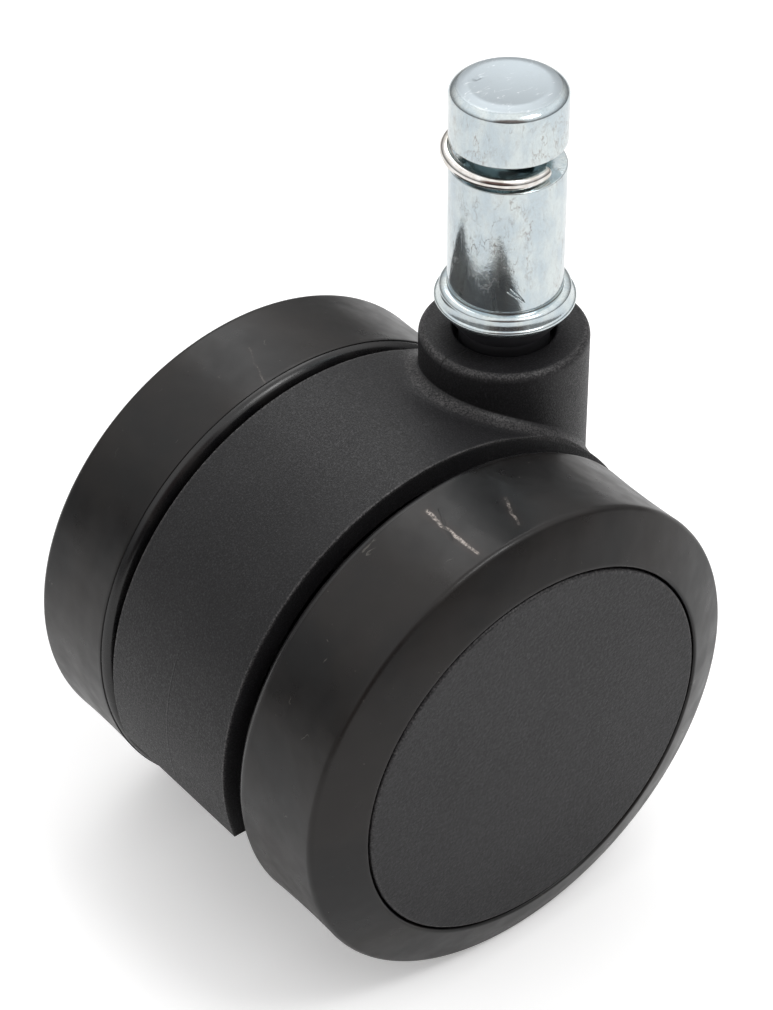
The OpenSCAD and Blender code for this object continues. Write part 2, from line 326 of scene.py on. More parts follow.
def make_grip_ring():
    """C-shaped ring of round wire with rounded ends, tilted in its groove."""
    ring_r = PIN_R - RING_WIRE_R
    middle_z = GROOVE_Z + RING_WIRE_R + RUNNING_GAP + ring_r * math.sin(math.radians(RING_TILT_DEG))
    first_end = 180 + RING_TURN_DEG - RING_HIGH_DEG + RING_GAP_DEG / 2
    place = (turned(RING_SHIFT_DEG) @ Matrix.Translation((RING_SHIFT, 0, middle_z))
             @ turned(RING_HIGH_DEG) @ turned(-RING_TILT_DEG, "Y") @ turned(first_end))
    sweep = 360 - RING_GAP_DEG
    around, along = 32, 160
    end_deg = math.degrees(RING_WIRE_R / ring_r)
    rows = []
    for i in range(along + 1):
        angle = sweep * (1 - math.cos(math.pi * i / along)) / 2
        inside = min(min(angle, sweep - angle) / end_deg, 1)
        wire_r = RING_WIRE_R * math.sqrt(max(1 - (1 - inside) ** 2, 0))
        a = math.radians(angle)
        out = Vector((math.cos(a), math.sin(a), 0))
        row = []
        for k in range(around):
            b = TAU * k / around
            row.append(place @ (out * (ring_r + wire_r * math.cos(b))
                                + Vector((0, 0, wire_r * math.sin(b)))))
        rows.append(row)
    bm = bmesh.new()
    add_grid(bm, rows, close_columns=True)
    piece = make_object("grip_ring_wire", bm)
    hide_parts("grip_ring")
    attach(piece, "grip_ring")
    return piece


# ---------------------------------------------------------------- housing

FILLET_CENTRE_R = SOCKET_R + FILLET_R
HOOD_STEPS = 72


def fillet_centre(theta):
    """Centre of the ball that rolls between socket wall and hood, at an angle round the stem."""
    x, y = FILLET_CENTRE_R * math.cos(theta), FILLET_CENTRE_R * math.sin(theta)
    z = AXLE.z + math.sqrt((HOOD_R + FILLET_R) ** 2 - (x - AXLE.x) ** 2)
    return Vector((x, y, z))


def fillet_point(theta, t):
    """Point on the flattened fillet: t is 0 at the socket wall and 1 at the hood."""
    centre = fillet_centre(theta)
    out = Vector((math.cos(theta), math.sin(theta), 0))
    to_hood = Vector((AXLE.x - centre.x, 0, AXLE.z - centre.z)).normalized()
    foot = centre + to_hood * FILLET_R
    corner = out * SOCKET_R
    corner.z = AXLE.z + math.sqrt(HOOD_R ** 2 - (corner.x - AXLE.x) ** 2)
    head = corner + Vector((0, 0, (centre.z - corner.z) * FILLET_RISE))
    hollow = corner.lerp((head + foot) / 2, FILLET_FLATNESS)
    return head * (1 - t) ** 2 + hollow * 2 * t * (1 - t) + foot * t ** 2


def fillet_end(theta):
    """The largest t at which the fillet is still within the hood's width."""
    if abs(fillet_point(theta, 1).y) <= HOOD_Y:
        return 1.0
    low, high = 0.0, 1.0
    for _ in range(40):
        middle = (low + high) / 2
        if abs(fillet_point(theta, middle).y) < HOOD_Y:
            low = middle
        else:
            high = middle
    return low


def socket_path(theta, wall_steps=5, fillet_steps=12):
    """Points from inside the socket's bore, over its top and down the wall to the fillet's end."""
    out = Vector((math.cos(theta), math.sin(theta), 0))
    section = [(BORE_R + 0.6, SOCKET_SPLIT_Z), (BORE_R, SOCKET_SPLIT_Z), (BORE_R, SOCKET_Z - 3)]
    section += arc(BORE_R + SOCKET_MOUTH, SOCKET_Z - SOCKET_MOUTH, SOCKET_MOUTH, 180, 90, 4)
    section += [((BORE_R + SOCKET_R) / 2, SOCKET_Z)]
    section += arc(SOCKET_R - SOCKET_EDGE, SOCKET_Z - SOCKET_EDGE, SOCKET_EDGE, 90, 0, 10)
    points = [out * r + Vector((0, 0, z)) for r, z in section]
    top, foot = points[-1], fillet_point(theta, 0)
    for i in range(1, wall_steps):
        points.append(top.lerp(foot, i / wall_steps))
    last = fillet_end(theta)
    for i in range(fillet_steps + 1):
        points.append(fillet_point(theta, last * i / fillet_steps))
    return points


def hood_point(radius, phi, y):
    return Vector((AXLE.x + radius * math.cos(phi), y, AXLE.z + radius * math.sin(phi)))


def skirt_angle(radius, rear):
    """Angle round the axle at which the hood's lower edge cuts the given radius."""
    dip = math.asin((SKIRT_Z - AXLE.z) / radius)
    return math.pi - dip if rear else dip


def hood_row(y, rear):
    """Points from inside the bore, over the socket and along the hood to its lower edge."""
    swing = math.asin(y / FILLET_CENTRE_R)
    theta = math.pi - swing if rear else swing
    centre = fillet_centre(theta)
    start = math.atan2(centre.z - AXLE.z, centre.x - AXLE.x)
    end = skirt_angle(HOOD_R, rear)
    points = socket_path(theta)
    for i in range(1, HOOD_STEPS + 1):
        points.append(hood_point(HOOD_R, start + (end - start) * i / HOOD_STEPS, y))
    return points


def inner_angles(rim):
    """Angles of the hood's inner surface, one for each point of the outer surface's rim."""
    outer = skirt_angle(HOOD_R, False), skirt_angle(HOOD_R, True)
    inner = skirt_angle(HOOD_INNER_R, False), skirt_angle(HOOD_INNER_R, True)
    scale = (inner[1] - inner[0]) / (outer[1] - outer[0])
    angles = []
    for point in rim:
        phi = math.atan2(point.z - AXLE.z, point.x - AXLE.x)
        if phi < -math.pi / 2:
            phi += TAU
        angles.append(inner[0] + (phi - outer[0]) * scale)
    return angles


def make_housing_shell():
    """Hood with the socket blended into it by a rolling-ball fillet."""
    across, side_steps = 56, 30
    heights = [HOOD_Y * (2 * j / across - 1) for j in range(across + 1)]
    bm = bmesh.new()
    edges = {}
    for rear in (True, False):
        rows = [hood_row(y, rear) for y in heights]
        add_grid(bm, rows)
        for side, row in ((-1, rows[0]), (1, rows[-1])):
            edges[rear, side] = row[-HOOD_STEPS - 1:]
    # Socket and fillet at both sides, where they reach past the hood's width.
    reach = math.asin(HOOD_Y / FILLET_CENTRE_R)
    span = [reach + (math.pi - 2 * reach) * i / side_steps for i in range(side_steps + 1)]
    rims = {}
    for side in (-1, 1):
        rows = [socket_path(side * theta) for theta in span]
        add_grid(bm, rows)
        bump = [row[-1] for row in rows]
        rims[side] = list(reversed(edges[False, side])) + bump[1:-1] + edges[True, side]
    # Inner surface, and the faces that join it to the outer one all round.
    angles = inner_angles(rims[1])
    inside = [[hood_point(HOOD_INNER_R, phi, y) for phi in angles] for y in heights]
    add_grid(bm, inside)
    add_grid(bm, [rims[-1], inside[0]])
    add_grid(bm, [rims[1], inside[-1]])
    for rear, column in ((False, 0), (True, -1)):
        phi = skirt_angle(HOOD_R, rear)
        lower = [hood_point(HOOD_R, phi, y) for y in heights]
        add_grid(bm, [lower, [row[column] for row in inside]])
    return make_object("housing_shell", bm, edge=HOOD_EDGE)


def hood_arc(radius, steps=96):
    """Points (x, z) round the axle, from the hood's front lower edge to its rear one."""
    start, end = skirt_angle(radius, False), skirt_angle(radius, True)
    points = []
    for i in range(steps + 1):
        phi = start + (end - start) * i / steps
        points.append((radius * math.cos(phi), radius * math.sin(phi)))
    return points


def make_housing_inside():
    """Web, seven spokes, arc rib, axle boss and the lower part of the stem socket."""
    middle_r = HOOD_INNER_R + HOOD_WALL / 2
    boss_r, boss_y = AXLE_R + BOSS_WALL, HOOD_Y - BOSS_INSET
    rib_width = 2 * (HOOD_Y - RIB_INSET)
    half = RIB_T / 2
    at_axle = Matrix.Translation(AXLE)
    bm = bmesh.new()
    add_prism(bm, hood_arc(middle_r), WEB_T, at_axle)
    start_r = AXLE_R + OVERLAP
    spoke = [(start_r, -half), (middle_r, -half), (middle_r, half), (start_r, half)]
    for turn in range(0, 181, 30):
        add_prism(bm, spoke, rib_width, at_axle @ turned(-turn, "Y"))
    arc_rib_r = (boss_r + HOOD_INNER_R) / 2
    arc_rib = hood_arc(arc_rib_r - half) + list(reversed(hood_arc(arc_rib_r + half)))
    add_prism(bm, arc_rib, rib_width, at_axle)
    boss = [(AXLE_R, -boss_y), (boss_r, -boss_y), (boss_r, boss_y), (AXLE_R, boss_y)]
    add_revolved(bm, boss, on_axle(1), segments=96, closed=True)
    outer_r, relief_r = SOCKET_R - 0.05, JOURNAL_R + 0.25
    bottom = DISC_Z - SOCKET_FLOOR
    socket = [(0, bottom), (outer_r, bottom), (outer_r, SOCKET_SPLIT_Z), (BORE_R, SOCKET_SPLIT_Z),
              (BORE_R, BUSH_LOW.z), (relief_r, BUSH_LOW.z), (relief_r, DISC_Z), (0, DISC_Z)]
    add_revolved(bm, socket, Matrix.Identity(4), segments=128)
    return make_object("housing_web", bm, edge=WEB_EDGE)


def make_housing():
    shell, web = make_housing_shell(), make_housing_inside()
    for piece in (shell, web):
        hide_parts("housing")
        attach(piece, "housing")
    return shell, web


# ---------------------------------------------------------------- wheels

def tyre_outline():
    """Closed section (radius, distance from the middle) of tread and outer side wall."""
    inner_y, face_y = TYRE_LOW.y, TYRE_HIGH.y
    start_y, shoulder_y = inner_y + 0.1, RIM_END_Y - 0.35
    mouth_r = HUBCAP_R + HUBCAP_GAP
    tread_steps, side_steps = 28, 20
    tread = []
    for i in range(tread_steps + 1):
        y = start_y + (shoulder_y - start_y) * i / tread_steps
        bow = ((y - WAIST_Y) / (inner_y - WAIST_Y)) ** 2
        tread.append((WHEEL_R - WAIST + WAIST * bow, y))
    shoulder = arc(tread[-1][0] - TREAD_SHOULDER_R, shoulder_y, TREAD_SHOULDER_R,
                   0, TREAD_SHOULDER_DEG, 12)
    r, y = shoulder[-1]
    side = []
    for i in range(1, side_steps):
        t = i / side_steps
        side.append((r + (mouth_r + SIDE_EDGE - r) * t,
                     y + (face_y - y) * t + SIDE_SWELL * t * (1 - t)))
    mouth = arc(mouth_r + SIDE_EDGE, face_y - SIDE_EDGE, SIDE_EDGE, 90, 180, 6)
    seat = arc(LIP_CENTRE_R, inner_y, LIP_R, 0, 90, 8)
    inner_edge = arc(WHEEL_R - TREAD_EDGE, inner_y + TREAD_EDGE, TREAD_EDGE, 270, 360, 4)
    return (inner_edge + tread[1:] + shoulder[1:] + side + mouth
            + [(mouth_r, RIM_END_Y), (RIM_R, RIM_END_Y), (RIM_R, inner_y + LIP_R)]
            + list(reversed(seat)))


def core_outline():
    """Closed section of the wheel core: hub, side disc with its rounded lip, and rim."""
    hub_low, hub_high = HUB_BUSH_LOW.y, HUB_BUSH_HIGH.y
    side_y, back_y = TYRE_LOW.y - LIP_R, TYRE_LOW.y + LIP_R
    return ([(HUB_BUSH_R, hub_low), (HUB_R, hub_low), (HUB_R, side_y)]
            + arc(LIP_CENTRE_R, TYRE_LOW.y, LIP_R, -90, 90, 20)
            + [(RIM_R, back_y), (RIM_R, RIM_END_Y), (RIM_INNER_R, RIM_END_Y),
               (RIM_INNER_R, back_y), (HUB_R, back_y), (HUB_R, hub_high), (HUB_BUSH_R, hub_high)])


def hubcap_outline():
    """Open half section of the snap-in hubcap, from the middle of its face round to its back."""
    face = CAP_HIGH.y
    back = face - HUBCAP_T
    skirt_r, skirt_t, skirt_low = RIM_INNER_R - 0.5, 1.2, CAP_LOW.y
    edge, bead_r, bead_up = 0.3, 0.45, 0.6
    outline = [(0, face), (HUBCAP_R - 2, face)]
    outline += arc(HUBCAP_R - edge, face - edge, edge, 90, 0, 6)
    outline += [(HUBCAP_R, back), (skirt_r, back)]
    outline += arc(skirt_r, skirt_low + bead_up, bead_r, 90, -90, 8)
    outline += [(skirt_r, skirt_low), (skirt_r - skirt_t, skirt_low), (skirt_r - skirt_t, back),
                (0, back)]
    return outline


def add_core_ribs(bm, place):
    """Radial ribs and one ring rib between hub and rim."""
    low, top = TYRE_LOW.y, RIM_END_Y - CORE_RIB_DROP
    start_r, end_r = HUB_R - OVERLAP, RIM_INNER_R + OVERLAP
    bar = [(start_r, low), (end_r, low), (end_r, top), (start_r, top)]
    for i in range(CORE_RIBS):
        add_prism(bm, bar, RIB_T, place @ Matrix.Rotation(TAU * i / CORE_RIBS, 4, "Z"))
    ring_r, half = (HUB_R + RIM_INNER_R) / 2, RIB_T / 2
    ring = [(ring_r - half, low), (ring_r + half, low), (ring_r + half, top + 1),
            (ring_r - half, top + 1)]
    add_revolved(bm, ring, place, segments=128, closed=True)


def make_wheel(name, side):
    """Tyre, core and hubcap of one wheel."""
    body = f"wheel_{name}"
    place = on_axle(side)
    bm = bmesh.new()
    add_revolved(bm, tyre_outline(), place, segments=320, closed=True)
    tyre = make_object(f"tyre_{name}_moulded", bm)
    bm = bmesh.new()
    add_revolved(bm, core_outline(), place, segments=256, closed=True)
    add_core_ribs(bm, place)
    core = make_object(f"wheel_core_{name}_moulded", bm)
    bm = bmesh.new()
    add_revolved(bm, hubcap_outline(), place, segments=256)
    cap = make_object(f"hubcap_{name}_moulded", bm)
    parts = ((tyre, "tyre", "polyurethane"), (core, "wheel_core", "core_nylon"),
             (cap, "hubcap", "hubcap_plastic"))
    for piece, node, slot in parts:
        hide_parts(f"{node}_{name}")
        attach(piece, body)
    return tyre, core, cap


# ---------------------------------------------------------------- material helpers

class Shader:
    """A node tree with one Principled surface, in object coordinates scaled to millimetres."""

    def __init__(self, name, colour, roughness, metallic=0.0, **sockets):
        self.material = bpy.data.materials.new(name)
        self.material.use_nodes = True
        self.tree = self.material.node_tree
        self.surface = self.tree.nodes["Principled BSDF"]
        self.surface.inputs["Base Color"].default_value = (*colour, 1)
        self.surface.inputs["Roughness"].default_value = roughness
        self.surface.inputs["Metallic"].default_value = metallic
        for socket, value in sockets.items():
            self.surface.inputs[socket.replace("_", " ")].default_value = value
        self.coordinates = self.tree.nodes.new("ShaderNodeTexCoord").outputs["Object"]
        self.last_normal = None

    def link(self, output, target):
        self.tree.links.new(output, target)

    def mapped(self, scale=(1, 1, 1), offset=(0, 0, 0), turn=(0, 0, 0)):
        """Object coordinates in millimetres, stretched by scale."""
        node = self.tree.nodes.new("ShaderNodeMapping")
        node.inputs["Location"].default_value = offset
        node.inputs["Rotation"].default_value = turn
        node.inputs["Scale"].default_value = tuple(s / MM for s in scale)
        self.link(self.coordinates, node.inputs["Vector"])
        return node.outputs["Vector"]

    def noise(self, vector, scale, detail=2.0, roughness=0.5):
        node = self.tree.nodes.new("ShaderNodeTexNoise")
        node.inputs["Scale"].default_value = scale
        node.inputs["Detail"].default_value = detail
        node.inputs["Roughness"].default_value = roughness
        self.link(vector, node.inputs["Vector"])
        return node.outputs["Fac"]

    def ramp(self, value, low, high, first=0.0, last=1.0):
        """Maps value from low..high to first..last, smoothly and clamped."""
        node = self.tree.nodes.new("ShaderNodeMapRange")
        node.interpolation_type = "SMOOTHSTEP"
        node.inputs["From Min"].default_value = low
        node.inputs["From Max"].default_value = high
        node.inputs["To Min"].default_value = first
        node.inputs["To Max"].default_value = last
        self.link(value, node.inputs["Value"])
        return node.outputs["Result"]

    def math(self, kind, a, b=None):
        node = self.tree.nodes.new("ShaderNodeMath")
        node.operation = kind
        for socket, value in zip(node.inputs, (a, b)):
            if value is None:
                continue
            if isinstance(value, (int, float)):
                socket.default_value = value
            else:
                self.link(value, socket)
        return node.outputs["Value"]

    def both(self, a, b):
        return self.math("MULTIPLY", a, b)

    def either(self, a, b):
        return self.math("MAXIMUM", a, b)

    def away(self, value, middle):
        """How far value lies from middle, on either side."""
        return self.math("ABSOLUTE", self.math("SUBTRACT", value, middle))

    def contour(self, value, thin, thick):
        """Thin wandering lines where a noise passes through its middle value."""
        return self.ramp(self.away(value, 0.5), thin, thick, 1, 0)

    def radius(self, centre, across):
        """Distance in millimetres from an axis; across has 1 for the directions square to it."""
        moved = self.tree.nodes.new("ShaderNodeMapping")
        moved.inputs["Location"].default_value = tuple(-c * a for c, a in zip(centre, across))
        moved.inputs["Scale"].default_value = tuple(a / MM for a in across)
        self.link(self.coordinates, moved.inputs["Vector"])
        length = self.tree.nodes.new("ShaderNodeVectorMath")
        length.operation = "LENGTH"
        self.link(moved.outputs["Vector"], length.inputs[0])
        return length.outputs["Value"]

    def mark(self, start, end, normal, half_width, wander=0.0):
        """Mask of a scratch-like mark on the surface, from start to end in millimetres."""
        a, b = Vector(start), Vector(end)
        along = (b - a).normalized()
        across = Vector(normal).cross(along).normalized()
        rows = Matrix((along, across, along.cross(across)))
        place = self.tree.nodes.new("ShaderNodeMapping")
        place.inputs["Location"].default_value = -(rows @ a)
        place.inputs["Rotation"].default_value = rows.to_euler("XYZ")
        place.inputs["Scale"].default_value = (1 / MM, 1 / MM, 1 / MM)
        self.link(self.coordinates, place.inputs["Vector"])
        x, y, z = self.axes(place.outputs["Vector"])
        if wander:
            shift = self.math("SUBTRACT", self.noise(place.outputs["Vector"], 0.7, 3), 0.5)
            y = self.math("ADD", y, self.math("MULTIPLY", shift, wander))
        line = self.ramp(self.math("ABSOLUTE", y), half_width * 0.3, half_width, 1, 0)
        length, fade = (b - a).length, half_width + 0.2
        ends = self.both(self.ramp(x, -fade, 0), self.ramp(x, length, length + fade, 1, 0))
        near = self.ramp(self.math("ABSOLUTE", z), 1.0, 1.5, 1, 0)
        return self.both(line, self.both(ends, near))

    def axes(self, vector):
        node = self.tree.nodes.new("ShaderNodeSeparateXYZ")
        self.link(vector, node.inputs["Vector"])
        return node.outputs["X"], node.outputs["Y"], node.outputs["Z"]

    def blend(self, amount, first, second, strength=1.0):
        """Mixes two colours, each a tuple or an output, by amount times strength."""
        if strength != 1:
            amount = self.math("MULTIPLY", amount, strength)
        node = self.tree.nodes.new("ShaderNodeMix")
        node.data_type = "RGBA"
        self.link(amount, node.inputs["Factor"])
        for name, colour in (("A", first), ("B", second)):
            socket = next(s for s in node.inputs if s.name == name and s.type == "RGBA")
            if isinstance(colour, tuple):
                socket.default_value = (*colour, 1)
            else:
                self.link(colour, socket)
        return next(s for s in node.outputs if s.type == "RGBA")

    def colour(self, output):
        self.link(output, self.surface.inputs["Base Color"])

    def roughness(self, output):
        self.link(output, self.surface.inputs["Roughness"])

    def bump(self, height, distance):
        """Adds a bump of the given height in millimetres on top of earlier ones."""
        node = self.tree.nodes.new("ShaderNodeBump")
        node.inputs["Distance"].default_value = distance * MM
        self.link(height, node.inputs["Height"])
        if self.last_normal is not None:
            self.link(self.last_normal, node.inputs["Normal"])
        self.last_normal = node.outputs["Normal"]
        self.link(self.last_normal, self.surface.inputs["Normal"])


# ---------------------------------------------------------------- materials

ZINC_BLUE = (0.56, 0.64, 0.68)
ZINC_PALE = (0.69, 0.75, 0.75)
ZINC_DULL = (0.50, 0.52, 0.52)
ZINC_TOP_SHADE = (0.46, 0.51, 0.54)
GROOVE_SHADE = (0.16, 0.24, 0.26)
RUST = (0.24, 0.18, 0.15)
GRIME_AND_SHADE = (0.14, 0.11, 0.09)
BARE_SCRATCH = (0.85, 0.87, 0.88)
NECK_SHADE = (0.10, 0.10, 0.11)
WIRE_WARM = (0.74, 0.70, 0.65)
WIRE_BRIGHT = (0.88, 0.86, 0.83)
ACETAL_DARK = (0.012, 0.012, 0.013)
ACETAL_LIGHT = (0.020, 0.020, 0.021)
NYLON_DARK = (0.0080, 0.0077, 0.0088)
NYLON_LIGHT = (0.0115, 0.0112, 0.0122)
CAP_DARK = (0.0088, 0.0084, 0.0096)
CAP_LIGHT = (0.0130, 0.0126, 0.0140)
CORE_DARK = (0.008, 0.008, 0.009)
CORE_LIGHT = (0.014, 0.013, 0.013)
WORN_PLASTIC = (0.11, 0.105, 0.105)
DEEP_BLACK = (0.002, 0.002, 0.002)
DUST = (0.22, 0.21, 0.21)
TREAD_DARK = (0.0062, 0.0058, 0.0060)
TREAD_BROWN = (0.0120, 0.0098, 0.0088)
LINT = (0.22, 0.20, 0.18)
FIBRE = (0.20, 0.19, 0.17)
FLOW_SHEEN = (0.045, 0.027, 0.022)
FLOW_MARK_AND_HIGHLIGHT = (0.62, 0.55, 0.50)

# Marks on a surface: start and end, and for the flow marks their half width and strength.
TOP_PIT = ((-1.9, 2.4, PIN_TOP), (-1.5, 2.4, PIN_TOP))
GOUGES = [((-3.06, -4.57, 2.79), (-2.30, -5.0, 1.55)), ((-3.28, -4.42, 2.47), (-2.21, -5.04, 1.31))]
KNIT_LINE = ((-8.2, -0.46, SOCKET_Z), (-5.4, -0.68, SOCKET_Z))
FLOW_MARKS = [((-20.0, -13.0, -9.7), (-20.2, -20.2, -9.7), 0.26, 1.0),
              ((-13.6, -16.2, -9.3), (-15.1, -19.8, -9.3), 0.22, 0.5),
              ((-17.9, 16.7, -9.4), (-20.4, 10.2, -9.8), 0.12, 0.2)]
CREASE = ((-19.1, -13.6, -9.5), (-20.7, -17.2, -9.8))


def zinc_marks(s, z):
    """Brown hairlines, finer cracks and specks, all over the shank and faint elsewhere."""
    hairs = s.contour(s.noise(s.mapped((1, 1, 0.40)), 0.75, 5, 0.6), 0.002, 0.015)
    hairs = s.both(hairs, s.ramp(s.noise(s.mapped((1, 1, 0.5), (5, 2, 8)), 0.5, 2), 0.46, 0.60))
    cracks = s.contour(s.noise(s.mapped((1, 1, 0.30), (9, 4, 2)), 1.5, 4, 0.6), 0.002, 0.018)
    cracked = s.noise(s.mapped((1, 1, 0.4), (1, 7, 3)), 0.7, 2)
    cracks = s.both(cracks, s.ramp(cracked, 0.48, 0.66, 0, 0.7))
    specks = s.ramp(s.noise(s.mapped(), 4.5, 4, 0.7), 0.69, 0.78)
    shank = s.both(s.ramp(z, 0.5, 1.5), s.ramp(z, PIN_TOP - 1.5, PIN_TOP - 0.8, 1, 0))
    return s.both(s.either(s.either(hairs, cracks), specks), s.ramp(shank, 0, 1, 0.1, 1))


def zinc_scratches(s, top):
    """Bright scratches in patches on the top disc."""
    lines = s.contour(s.noise(s.mapped((0.25, 1, 1), turn=(0, 0, 0.9)), 1.6, 2), 0.002, 0.012)
    return s.both(lines, s.both(top, s.ramp(s.noise(s.mapped(), 0.9, 2), 0.52, 0.60)))


def zinc_plating():
    """Bluish zinc plating: matt top disc, brown hairlines and specks, grimy foot; painted shade on
    top, groove, foot and neck.
    """
    s = Shader("zinc_plating", (0.66, 0.71, 0.74), 0.13, metallic=0.9)
    z = s.axes(s.mapped())[2]
    r = s.radius((0, 0, 0), (1, 1, 0))
    top = s.ramp(z, PIN_TOP - 0.35, PIN_TOP - 0.15)
    neck = s.ramp(z, -COLLAR_H - 0.05, -COLLAR_H - 0.35, 0, 1)
    foot = s.both(s.ramp(z, 0.14, 0.04, 0, 1), s.ramp(r, PIN_R + 0.06, PIN_R + 0.01, 0, 1))
    groove = s.both(s.ramp(r, GROOVE_R + 0.9, GROOVE_R + 0.3, 0, 1),
                    s.both(s.ramp(z, GROOVE_Z - 0.3, GROOVE_Z - 0.1),
                           s.ramp(z, GROOVE_Z + GROOVE_W + 0.1, GROOVE_Z + GROOVE_W + 0.3, 1, 0)))
    mottle = s.noise(s.mapped((1, 1, 0.5)), 0.5, 4, 0.6)
    grain = s.noise(s.mapped((1, 1, 0.6)), 3.5, 3, 0.6)
    marks = zinc_marks(s, z)
    tone = s.blend(s.ramp(mottle, 0.35, 0.65), ZINC_BLUE, ZINC_PALE)
    tone = s.blend(s.ramp(grain, 0.45, 0.7, 0, 0.35), tone, ZINC_DULL)
    # Painted shade: the matt top disc is darkened to dim its reflection.
    tone = s.blend(top, tone, ZINC_TOP_SHADE)
    # Painted shade: the groove's inner wall is darkened to a dark teal.
    tone = s.blend(groove, tone, GROOVE_SHADE)
    tone = s.blend(marks, tone, RUST, 0.6)
    # Grime and painted undercut shade: a dark brown line at the pin's foot.
    tone = s.blend(foot, tone, GRIME_AND_SHADE, 0.6)
    tone = s.blend(zinc_scratches(s, top), tone, BARE_SCRATCH, 0.7)
    # Painted shade: the neck under the collar is darkened.
    s.colour(s.blend(neck, tone, NECK_SHADE))
    gloss = s.math("ADD", s.ramp(mottle, 0.3, 0.7, 0.08, 0.15), s.math("MULTIPLY", marks, 0.08))
    s.roughness(s.either(gloss, s.math("MULTIPLY", s.either(top, neck), 0.5)))
    s.bump(s.noise(s.mapped((1, 1, 0.12)), 5.0, 3), 0.004)
    s.bump(grain, 0.006)
    s.bump(marks, -0.003)
    s.bump(s.mark(*TOP_PIT, (0, 0, 1), 0.25, 0.5), -0.06)
    for start, end in GOUGES:
        s.bump(s.mark(start, end, (*Vector(start).xy, 0), 0.14, 0.3), -0.05)
    return s.material


def spring_wire():
    """Drawn spring wire, bright and slightly warm."""
    s = Shader("spring_wire", (0.66, 0.64, 0.61), 0.14, metallic=1.0)
    tint = s.ramp(s.noise(s.mapped(), 1.2, 3), 0.35, 0.65)
    s.colour(s.blend(tint, WIRE_WARM, WIRE_BRIGHT))
    s.roughness(s.ramp(s.noise(s.mapped(), 3.0, 2), 0.3, 0.7, 0.06, 0.14))
    s.bump(s.noise(s.mapped(), 4.0, 2), 0.004)
    return s.material


def plain_steel(name, shade):
    """Pressed or ground steel of the hidden pieces."""
    s = Shader(name, (shade, shade, shade), 0.35, metallic=1.0)
    grain = s.noise(s.mapped((1, 0.1, 1)), 4.0, 3)
    s.colour(s.blend(s.ramp(grain, 0.3, 0.7), (shade * 0.85,) * 3, (shade * 1.1,) * 3))
    s.roughness(s.ramp(grain, 0.3, 0.7, 0.28, 0.45))
    return s.material


def acetal():
    """Black acetal of the bearing sleeves."""
    s = Shader("acetal", (0.02, 0.02, 0.02), 0.4)
    cloud = s.noise(s.mapped(), 0.6, 2)
    s.colour(s.blend(s.ramp(cloud, 0.3, 0.7), ACETAL_DARK, ACETAL_LIGHT))
    s.roughness(s.ramp(cloud, 0.3, 0.7, 0.35, 0.5))
    return s.material


def speckle(s, tone, fine_scale, light, amount):
    """Fine light and dark grain of a spark-eroded surface, with sparse glinting dust."""
    fine = s.noise(s.mapped(), fine_scale, 3, 0.7)
    tone = s.blend(s.ramp(fine, 0.50, 0.72, 0, amount), tone, tuple(c * 3.0 for c in light))
    tone = s.blend(s.ramp(fine, 0.46, 0.30, 0, amount), tone, tuple(c * 0.25 for c in light))
    dust = s.ramp(s.noise(s.mapped(offset=(7, 3, 5)), 3.6, 2, 0.7), 0.72, 0.80)
    return s.blend(dust, tone, DUST, 0.30), fine


def housing_wear(s, fine, y, z, hood_r, stem_r):
    """Lighter grain on the hood's side edges, the socket's rim and the ring round its fillet."""
    side = s.both(s.ramp(s.math("ABSOLUTE", y), HOOD_Y - 0.30, HOOD_Y - 0.12),
                  s.ramp(hood_r, HOOD_R - 0.35, HOOD_R - 0.15))
    rim = s.both(s.ramp(s.away(stem_r, SOCKET_R - 0.35), 0.1, 0.4, 1, 0),
                 s.ramp(z, SOCKET_Z - 0.9, SOCKET_Z - 0.3))
    band = s.both(s.ramp(stem_r, SOCKET_R + 0.1, SOCKET_R + 0.3),
                  s.ramp(stem_r, SOCKET_R + 1.1, SOCKET_R + 1.5, 1, 0))
    band = s.both(band, s.ramp(hood_r, HOOD_R + 0.02, HOOD_R + 0.10))
    edges = s.either(s.either(side, rim), s.math("MULTIPLY", band, 0.9))
    patches = s.ramp(s.noise(s.mapped(), 0.5, 3, 0.6), 0.30, 0.55, 0.35, 1)
    return s.both(edges, s.both(s.ramp(fine, 0.40, 0.62), patches))


def housing_nylon():
    """Black moulding with a spark-eroded grain, worn edges, knit line and parting line."""
    s = Shader("grained_nylon", NYLON_DARK, 0.5, Specular_IOR_Level=0.36)
    plain = s.mapped()
    y, z = s.axes(plain)[1:]
    hood_r, stem_r = s.radius(AXLE, (1, 0, 1)), s.radius((0, 0, 0), (1, 1, 0))
    mottle = s.ramp(s.noise(plain, 0.12, 4, 0.55), 0.35, 0.65)
    tone, fine = speckle(s, s.blend(mottle, NYLON_DARK, NYLON_LIGHT), 5.5, NYLON_LIGHT, 0.8)
    tone = s.blend(housing_wear(s, fine, y, z, hood_r, stem_r), tone, WORN_PLASTIC, 0.55)
    knit = s.mark(*KNIT_LINE, (0, 0, 1), 0.10, 0.5)
    s.colour(s.blend(knit, tone, DEEP_BLACK, 0.9))
    s.roughness(s.ramp(fine, 0.35, 0.7, 0.58, 0.36))
    s.bump(fine, 0.035)
    s.bump(s.noise(plain, 1.4, 3), 0.03)
    parting = s.both(s.ramp(s.math("ABSOLUTE", y), 0.05, 0.12, 1, 0), s.ramp(z, -22, -30, 0, 1))
    s.bump(parting, 0.04)
    s.bump(knit, -0.05)
    return s.material


